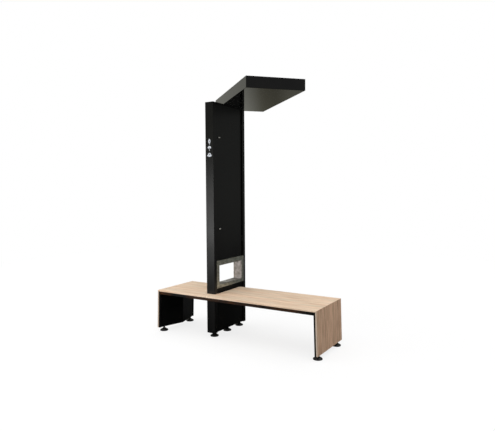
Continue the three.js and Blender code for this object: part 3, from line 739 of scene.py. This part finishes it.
# service door: a flat leaf stiffened by two hat sections, hung on two lift-off hinges at its rear edge
door = {"xs": (33, 35), "ys": (-247, 244.7), "zs": (788, 2384), "edge": 0.6, "axis": (38.8, 244.7, 0),
        "knuckle": 3.5, "bore": 2.3, "knuckleHalf": 10, "strapXs": (33.3, 36.4), "strapYs": (233.2, 244.6),
        "hinges": (979.5, 2192.5), "lockY": -178, "lockHole": 9.8,
        "locks": {"upperLock": ("upper_lock", "top_lock", 2045.65),
                  "lowerLock": ("lower_lock", "bottom_lock", 1110.39)},
        "hatYs": (-120, 100), "hatXs": (28, 32.95), "hatHalf": 13, "hatTop": 17 / 26, "hatZs": (860, 2310),
        "hatEdge": 0.8}


def makeDoor():
    (back, face), (near, far), (low, high) = values(door, "xs ys zs")
    leaf = roundEdges(startBox("serviceDoor", (back, near, low), (face, far, high)), door["edge"])
    for *_, z in door["locks"].values():
        hole = startTurned("lockHole", [(door["lockHole"], -spare), (door["lockHole"], spare)], 40)
        turnAbout(hole, 90, "Y")
        cutAway(leaf, moveTo(hole, (face, door["lockY"], z)))
    (left, right), (near, far), half, bore, outer = values(door, "strapXs strapYs knuckleHalf bore knuckle")
    pieces = [leaf]
    for z in door["hinges"]:
        knuckle = startRing("knuckle", bore, outer, z - half, z + half, door["axis"])
        pieces += [knuckle, startBox("strap", (left, near, z - half), (right, far, z + half))]
    (left, right), (low, high), half = values(door, "hatXs hatZs hatHalf")
    for y in door["hatYs"]:
        hat = startBox("hat", (left, y - half, low), (right, y + half, high))
        pickFacing(hat, "-x")
        stretch(y=door["hatTop"])
        pieces.append(roundEdges(hat, door["hatEdge"]))
    finishPiece(joinAll("serviceDoor", pieces), "powderCoatBlack", "service_door", "door")


# quarter-turn lock: a black face with a plated wing grip, a barrel through the door and a tongue behind it
lock = {"profile": [(9.5, 22), (9.5, 35), (13, 35.01), (13, 36.8), (11.8, 38)],
        "wing": ((-7, -15, 37.6), (7, 15, 43)), "wingTop": (0.82, 0.94), "wingEdge": (1.2, 3),
        "tongue": ((0, -7, 22), (52, 7, 25)), "tongueCorner": (4, 4), "tongueEdge": 0.4}


def makeLock(name, node, body, z):
    barrel = startTurned(name, lock["profile"])
    wing = startBox(name + "Wing", *lock["wing"])
    pickFacing(wing, "+z")
    stretch(*lock["wingTop"])
    roundEdges(wing, *lock["wingEdge"])
    tongue = startBox("tongue", *lock["tongue"])
    roundCorners(tongue, "z", *lock["tongueCorner"])
    roundEdges(tongue, lock["tongueEdge"])
    for piece in (barrel, wing, tongue):
        turnAbout(piece, 90, "Y")
        moveTo(piece, (0, door["lockY"], z))
    finishPiece(joinAll(name, [barrel, tongue]), "blackOxide", node, body)
    finishPiece(wing, "satinNickel", body=body)


makeDoor()
for name, (node, body, z) in door["locks"].items():
    makeLock(name, node, body, z)
print("door and locks made")

# head: a folded tray that holds the solar module, all turned about the swivel
head = {"turn": 47.8, "pivotY": 245, "left": -224.7, "right": 330.3, "near": -1101.5, "far": 123.5, "low": 2397,
        "high": 2500, "sheet": 2, "corner": 3, "hubHole": (46.3, 64)}


def turnHead(obj):
    turnAbout(obj, head["turn"], "Z")
    return moveTo(obj, (0, head["pivotY"], 0))


def makeHeadTray():
    low, high, (hole, sides) = head["low"], head["high"], head["hubHole"]
    tray = startSlab("headTray", head, low, high)
    pickFacing(tray, "+z")
    bpy.ops.mesh.delete(type="FACE")
    pick(tray, "EDGE", lambda place, run: not isAt(place.z, high))
    bevelPicked(head["corner"])
    modify(tray, "SOLIDIFY", thickness=head["sheet"] * mm, offset=-1, use_even_offset=True)
    cutAway(tray, startTurned("hubHole", [(hole, low - spare), (hole, low + spare)], sides))
    finishPiece(turnHead(tray), "powderCoatHead", "head_tray", "head")


# solar module: a rebated frame, a dark laminate, and cells with cut corners under two ribbons each
module = {"left": -217.7, "right": 323.3, "near": -1094.5, "far": 116.5, "low": 2462, "high": 2497, "wide": 12,
          "rebate": 7, "edge": 0.8, "inset": 7.3, "glassLow": 2491, "glassHigh": 2495.5, "glassEdge": 0.4,
          "cellHalf": 62.5, "pitch": 127.5, "columns": 4, "rows": 9, "cellZs": (2495.3, 2495.75), "cut": 9,
          "ribbonHalf": 0.8, "ribbonPlaces": (-31, 31), "ribbonPast": 4, "ribbonZs": (2495.4, 2495.9),
          "ribbonEdge": 0.15}


def makeModuleFrame():
    low, high, glassLow, glassHigh = values(module, "low high glassLow glassHigh")
    bars = startSlab("moduleFrame", module, low, high)
    inside = startSlab("inside", module, low - spare, high + spare, module["wide"])
    rebate = startSlab("rebate", module, glassLow, high + spare, module["rebate"])
    cutAway(bars, inside, rebate)
    roundEdges(bars, module["edge"])
    finishPiece(turnHead(bars), "anodisedAluminium", "module_frame", "head")
    sheet = roundEdges(startSlab("laminate", module, glassLow, glassHigh, module["inset"]), module["glassEdge"])
    finishPiece(turnHead(sheet), "backSheet", "module_laminate", "head")


def makeCells():
    left, right, near, far, half, pitch, (low, high) = values(module, "left right near far cellHalf pitch cellZs")
    model = startBox("cell", (-half, -half, low), (half, half, high))
    roundCorners(model, "z", module["cut"], 1)
    xs = spaced((left + right) / 2, pitch, module["columns"])
    ys = spaced((near + far) / 2, pitch, module["rows"])
    cells = copyTo(model, [(x, y, 0) for x in xs for y in ys])
    finishPiece(turnHead(joinAll("solarCells", cells)), "siliconCell", body="head")
    wide, past, (low, high) = values(module, "ribbonHalf ribbonPast ribbonZs")
    first, last, ribbons = ys[0] - half - past, ys[-1] + half + past, []
    for x in [x + shift for x in xs for shift in module["ribbonPlaces"]]:
        ribbon = startBox("ribbon", (x - wide, first, low), (x + wide, last, high))
        ribbons.append(roundEdges(ribbon, module["ribbonEdge"], 1))
    finishPiece(turnHead(joinAll("cellRibbons", ribbons)), "cellRibbon", body="head")


makeHeadTray()
makeModuleFrame()
makeCells()
print("head made")

# levelling feet: domed pad with a collar, rolled thread and hexagon lock nut, modelled once and copied
foot = {"pad": [(41.5, 0), (43, 1.5), (43, 8), (42.2, 10), (39.5, 12), (31, 17.5), (22.8, 22.5), (18.5, 25), (17.5, 26),
                (12.5, 26.01), (12.5, 30), (11.5, 31), (7, 31.01)],
        "crest": 6, "root": 5.3, "pitch": 1.75, "flank": 0.4, "turns": 29, "threadFoot": 29, "threadLow": 31,
        "threadTip": (4.5, 83), "threadSides": 20, "nut": [(10.5, 34), (10.5, 44)], "nutEdge": 0.9,
        "places": {"left_front": (-592, -343), "left_rear": (-592, 103), "tower_front": (0, -236),
                   "tower_middle": (0, 0), "tower_rear": (0, 236), "right_front": (1202, -343),
                   "right_rear": (1202, 103)}}


def startFoot():
    pad = startTurned("footPad", foot["pad"])
    crest, root, pitch, flank, low = values(foot, "crest root pitch flank threadLow")
    steps = [(root, foot["threadFoot"]), (root, low)]
    for base in [low + turn * pitch for turn in range(foot["turns"])]:
        steps += [(crest, base + pitch * flank), (crest, base + pitch * (1 - flank)), (root, base + pitch)]
    stem = startTurned("footStem", steps + [foot["threadTip"]], foot["threadSides"])
    nut = startTurned("footNut", foot["nut"], 6)
    return joinAll("foot", [pad, stem, roundEdges(nut, foot["nutEdge"])])


def makeFeet():
    copies = copyTo(startFoot(), [(x, y, 0) for x, y in foot["places"].values()])
    for word, piece in zip(foot["places"], copies):
        piece.name = pieceName(word + "_foot")
        finishPiece(piece, "footPolymer", word + "_foot", word + "_leveller")


makeFeet()
print("feet made")

# three plain signs cut from pale film on the front post: a leaf, a lamp and a bell
sign = {"face": -295, "thick": 0.35, "past": 2, "leafPast": 1, "sides": 48, "leafSides": 96, "holeSides": 32,
        "leaf": {"z": 2000.5, "half": 13.5, "tall": 25, "holeHalf": 4.2, "holeTall": 11, "stem": (2, 1966, 1978.5)},
        "lamp": {"z": 1934, "half": 21.5, "dome": (1, 0.95), "base": (0.8, 0.5), "hole": 8.5, "holeZ": 1928,
                 "stem": (2, 1903, 1944.75)},
        "bell": {"z": 1865, "half": 30, "tall": 20, "shoulder": 0.6, "hole": 6, "holeZ": 1872}}


# a disc of film; with something past its faces it is a cutter that goes right through the film
def startSign(name, x, z, radius, sides=sign["sides"], past=0):
    selectNothing()
    bpy.ops.mesh.primitive_circle_add(
        vertices=sides, radius=radius * mm, fill_type="NGON", rotation=(math.radians(90), 0, 0),
        location=(x * mm, (sign["face"] + past) * mm, z * mm))
    disc = settle(name)
    editAll(disc)
    extrude(y=-(sign["thick"] + 2 * past))
    return faceOutwards(disc)


# two discs overlap in a leaf shape
def startLeaf(name, z, half, tall, past=0):
    radius = (half * half + tall * tall) / (2 * half)
    left = startSign(name, half - radius, z, radius, sign["leafSides"], past)
    right = startSign("right", radius - half, z, radius, sign["leafSides"], past + sign["leafPast"])
    return combine(left, [right], "INTERSECT")


def startStem(half, low, high):
    return startBox("stem", (-half, sign["face"] - sign["thick"], low), (half, sign["face"], high))


def cutHole(shape, part):
    cutAway(shape, startSign("hole", 0, part["holeZ"], part["hole"], sign["holeSides"], sign["past"]))


def makeSigns():
    leaf, lamp, bell = values(sign, "leaf lamp bell")
    leafShape = startLeaf("signLeaf", leaf["z"], leaf["half"], leaf["tall"])
    cutAway(leafShape, startLeaf("hole", leaf["z"], leaf["holeHalf"], leaf["holeTall"], sign["past"]))
    weldOn(leafShape, startStem(*leaf["stem"]))

    lampShape, centre = startSign("signLamp", 0, lamp["z"], lamp["half"]), (0, sign["face"], lamp["z"])
    for side, (wide, tall) in ((1, lamp["dome"]), (-1, lamp["base"])):
        pick(lampShape, "VERT", lambda place, normal: side * (place.z - lamp["z"] * mm) > onPlace)
        stretch(wide, 1, tall, centre)
    cutHole(lampShape, lamp)
    weldOn(lampShape, startStem(*lamp["stem"]))

    bellShape, centre = startSign("signBell", 0, bell["z"], bell["half"]), (0, sign["face"], bell["z"])
    editAll(bellShape, "VERT")
    stretch(z=bell["tall"] / bell["half"], centre=centre)
    pick(bellShape, "VERT", lambda place, normal: place.z > bell["z"] * mm)
    stretch(bell["shoulder"], centre=centre)
    cutHole(bellShape, bell)
    for shape in (leafShape, lampShape, bellShape):
        finishPiece(shape, "whiteFilm")


makeSigns()
print("signs made")


# draws a face that a groove was inset from out again to its full size, and on by the lid's height
def growLid(piece, lid):
    extrude()
    stretch(*[(b - a) / (b - a - 2 * piece["groove"]) for a, b in zip(piece["low"][:2], piece["high"][:2])])
    extrude(z=lid)


# devices in the tower, seen when the door is open; each is a case between a low and a high corner
battery = {"low": (-32.7, -160, 743), "high": (19.3, 160, 913), "lidLow": 891, "groove": 1.2, "gap": 2, "lid": 14,
           "step": (6, 6), "edge": 1.5, "terminalX": -7, "terminalSides": 32,
           "terminal": [(10, 912), (10, 916), (7, 917.5), (7, 923.5), (5.5, 925)],
           "terminals": {"plusTerminal": (-125, "terminalRed"), "minusTerminal": (125, "darkAbs")}}


def makeBattery():
    (left, near, low), (right, far, high), high = values(battery, "low high lidLow")
    case = startBox("batteryCase", (left, near, low), (right, far, high))
    pickFacing(case, "+z")
    inset(battery["groove"])
    extrude(z=battery["gap"])
    growLid(battery, battery["lid"])
    shoulder, rise = battery["step"]
    inset(shoulder)
    extrude(z=rise)
    roundEdges(case, battery["edge"])
    finishPiece(case, "batteryCase", "battery")
    for name, (y, finish) in battery["terminals"].items():
        place = battery["terminalX"], y, 0
        finishPiece(startTurned(name, battery["terminal"], battery["terminalSides"], place), finish)


controller = {"low": (-29, -90, 1410), "high": (11, 90, 1520), "base": -13, "baseEdge": 1.5, "margin": 4, "edge": 0.8,
              "inner": -14, "finHalf": 1.5, "fins": 15, "finZs": (1466, 1517), "blockZs": (1413, 1464), "front": 7,
              "windowBack": (5.5, -23, 1436), "windowCorner": (23, 1462),
              "pane": ((5.6, -22.6, 1436.4), (6.4, 22.6, 1461.6)), "paneEdge": 0.3,
              "holes": 6, "holePitch": 24.8, "holeHalf": 7, "holeZs": (1416, 1428), "holeBack": -1}


def makeController():
    (left, near, low), (right, far, high), base, front, margin = values(controller, "low high base front margin")
    case = roundEdges(startBox("controllerCase", (left, near, low), (base, far, high)), controller["baseEdge"])
    inner, half, edge, (low, high) = values(controller, "inner finHalf edge finZs")
    model = roundEdges(startBox("fin", (inner, -half, low), (right, half, high)), edge)
    pitch = (far - near - 2 * (margin + half)) / (controller["fins"] - 1)
    fins = copyTo(model, [(0, y, 0) for y in spaced(0, pitch, controller["fins"])])
    low, high = controller["blockZs"]
    block = startBox("front", (inner, near + margin, low), (front, far - margin, high))
    back, half, (low, high) = values(controller, "holeBack holeHalf holeZs")
    cutAway(block, startBox("glass", controller["windowBack"], (front + spare, *controller["windowCorner"])))
    for y in spaced(0, controller["holePitch"], controller["holes"]):
        cutAway(block, startBox("hole", (back, y - half, low), (front + spare, y + half, high)))
    roundEdges(block, edge)
    finishPiece(joinAll("chargeController", [case] + fins + [block]), "darkAbs", "charge_controller")
    pane = startBox("controllerPane", *controller["pane"])
    finishPiece(roundEdges(pane, controller["paneEdge"]), "displayPane")


supply = {"low": (-29, -138.3, 1040), "high": (5, -28.3, 1120), "margin": 8, "edge": (2, 3), "slots": 9,
          "slotPitch": 8.5, "slotHalf": 1.5, "slotZs": (1060, 1100), "slotBack": 2, "ear": -27,
          "earZs": (1052, 1108), "earEdge": (0.5, 1)}


def makeSupply():
    (left, near, low), (right, far, high), margin = values(supply, "low high margin")
    case = roundEdges(startBox("usbSupply", (left, near + margin, low), (right, far - margin, high)), *supply["edge"])
    (low, high), half, back = values(supply, "slotZs slotHalf slotBack")
    for y in spaced((near + far) / 2, supply["slotPitch"], supply["slots"]):
        cutAway(case, startBox("slot", (back, y - half, low), (right + spare, y + half, high)))
    low, high = supply["earZs"]
    ear = startBox("ear", (left, near, low), (supply["ear"], far, high))
    weldOn(case, roundEdges(ear, *supply["earEdge"]))
    finishPiece(case, "darkAbs", "usb_supply")


fuses = {"low": (-29, 38.3, 1040), "high": (-3, 128.3, 1095), "base": -15, "step": (6, 5), "edge": 1.2, "pitch": 20,
         "bladeBack": -12, "bladeHalf": 5.5, "bladeZs": (1060, 1074), "bladeStep": (2, -1), "bladeEdge": 0.5,
         "finishes": ("fuseRed", "fuseBlue", "fuseYellow", "fuseRed")}


def makeFuseBlock():
    (left, near, low), (right, far, high), base, (shoulder, rise) = values(fuses, "low high base step")
    block = startBox("fuseBlock", (left, near, low), (base, far, high))
    pickFacing(block, "+x")
    inset(shoulder)
    extrude(x=rise)
    finishPiece(roundEdges(block, fuses["edge"]), "darkAbs", "fuse_block")
    back, half, (low, high), (shoulder, drop) = values(fuses, "bladeBack bladeHalf bladeZs bladeStep")
    ys = spaced((near + far) / 2, fuses["pitch"], len(fuses["finishes"]))
    for number, (y, finish) in enumerate(zip(ys, fuses["finishes"]), 1):
        blade = startBox(f"bladeFuse{number}", (back, y - half, low), (right, y + half, high))
        pickFacing(blade, "+x")
        inset(shoulder)
        slide(x=drop)
        finishPiece(roundEdges(blade, fuses["bladeEdge"]), finish)


junction = {"low": (-55, -420, 2473.5), "high": (55, -300, 2491), "groove": 1.2, "gap": -1.5, "lid": -3, "edge": 1}


def makeJunctionBox():
    box = startBox("junctionBox", junction["low"], junction["high"])
    pickFacing(box, "-z")
    inset(junction["groove"])
    slide(z=junction["gap"])
    growLid(junction, junction["lid"])
    roundEdges(box, junction["edge"])
    finishPiece(turnHead(box), "darkAbs", "junction_box", "head")


equipmentScrews = [(-29, y, z) for y in (-235, 235) for z in (1015, 1280, 1545)]

makeBattery()
makeController()
makeSupply()
makeFuseBlock()
makeJunctionBox()
makeScrews("equipmentScrews", 1, equipmentScrews, "zincPlate", 5)
print("devices made")

# the studio: a pale floor and room, a soft light from above and a tall soft light at the left front;
# the glossy black steel mirrors the room as greys: a pale wall at the left, a dark curtain at the back
studio = {"floor": 14, "floorX": 0.3, "floorTone": (0.5, 0.5, 0.5, 1), "floorMirror": (0.06, 0.06, 0.06, 1),
          "floorGlow": 0.8, "roomTone": 0.4, "roomAlong": (-0.17, -0.13), "topPower": 2.05,
          "topSpread": 90, "topTurn": (8, 7, 0), "boxPlace": (-1.62, -2.95, 1.0), "boxSize": (1.2, 1.3),
          "boxPower": 24, "boxAim": (0, -0.3, 1.2)}
roomMirror = [  # along X, how bright, tint
    (-0.95, 0.52, "#fffff2"), (-0.53, 0.42, "#fffff0"), (-0.515, 0.34, "#fffff0"), (-0.49, 0.15, "#fffbde"),
    (-0.465, 0.118, "#fffbde"), (-0.442, 0.19, "#fffbe4"), (0.5, 0.19, "#fbfff8"), (0.92, 0.5, "#ffffff")]


# white where the camera or glass looks straight at it, and otherwise one tone for mirrors and one for matt faces
def seenAs(tree, mirrored, scattered):
    ray = addNode(tree, "LightPath").outputs
    straight = addNode(tree, "Math", {0: ray["Is Camera Ray"], 1: ray["Is Transmission Ray"]}, operation="MAXIMUM")
    tone = addNode(tree, "Mix", {0: ray["Is Glossy Ray"], 6: scattered, 7: mirrored}, data_type="RGBA")
    seen = addNode(tree, "Mix", {0: straight.outputs[0], 6: tone.outputs[2], 7: "#ffffff"}, data_type="RGBA")
    return seen.outputs[2]


def makeRoom():
    world = bpy.data.worlds.new("room")
    bpy.context.scene.world = world
    tree = emptyTree(world)
    way = addNode(tree, "SeparateXYZ", {0: addNode(tree, "TexCoord").outputs["Generated"]}).outputs
    room = studio["roomTone"]
    for i, slope in enumerate(studio["roomAlong"]):
        room = addNode(tree, "Math", {0: way[i], 1: slope, 2: room}, operation="MULTIPLY_ADD").outputs[0]
    along = addNode(tree, "MapRange", {"Value": way[0], "From Min": -1, "From Max": 1})
    ramp = addNode(tree, "ValToRGB", {"Fac": along.outputs[0]})
    while len(ramp.color_ramp.elements) < len(roomMirror):
        ramp.color_ramp.elements.new(0.5)
    for stop, (place, level, colour) in zip(ramp.color_ramp.elements, roomMirror):
        stop.position = (place + 1) / 2
        stop.color = [level * channel for channel in linear(colour)[:3]] + [1]
    sky = addNode(tree, "Background", {"Color": seenAs(tree, ramp.outputs[0], room), "Strength": 1})
    addNode(tree, "OutputWorld", {"Surface": sky.outputs[0]})


def makeFloor():
    selectNothing()
    bpy.ops.mesh.primitive_grid_add(x_subdivisions=2, y_subdivisions=2, size=studio["floor"],
                                    location=(studio["floorX"], 0, 0))
    floor = bpy.context.active_object
    floor.name = "floor"
    paint = bpy.data.materials.new("paleFloor")
    tree = emptyTree(paint)
    matt = addNode(tree, "BsdfDiffuse", {"Color": seenAs(tree, studio["floorMirror"], studio["floorTone"])})
    shine = addNode(tree, "Emission", {"Color": "#ffffff", "Strength": 1})
    ray = addNode(tree, "LightPath").outputs["Is Camera Ray"]
    glow = addNode(tree, "Math", {0: ray, 1: studio["floorGlow"]}, operation="MULTIPLY")
    both = addNode(tree, "MixShader", {0: glow.outputs[0], 1: matt.outputs[0], 2: shine.outputs[0]})
    addNode(tree, "OutputMaterial", {"Surface": both.outputs[0]})
    floor.data.materials.append(paint)


def makeLights():
    top = bpy.data.lights.new("topLight", "SUN")
    top.energy = studio["topPower"]
    top.angle = math.radians(studio["topSpread"])
    addToScene("topLight", top).rotation_euler = [math.radians(turn) for turn in studio["topTurn"]]
    box = bpy.data.lights.new("leftBox", "AREA")
    box.shape = "RECTANGLE"
    box.size, box.size_y = studio["boxSize"]
    box.energy = studio["boxPower"]
    lamp = addToScene("leftBox", box)
    lamp.location = studio["boxPlace"]
    lamp.rotation_euler = (Vector(studio["boxAim"]) - lamp.location).to_track_quat("-Z", "Y").to_euler()
    lamp.visible_camera = False


makeRoom()
makeFloor()
makeLights()
bpy.context.scene.view_settings.view_transform = "Standard"
print("studio lit")
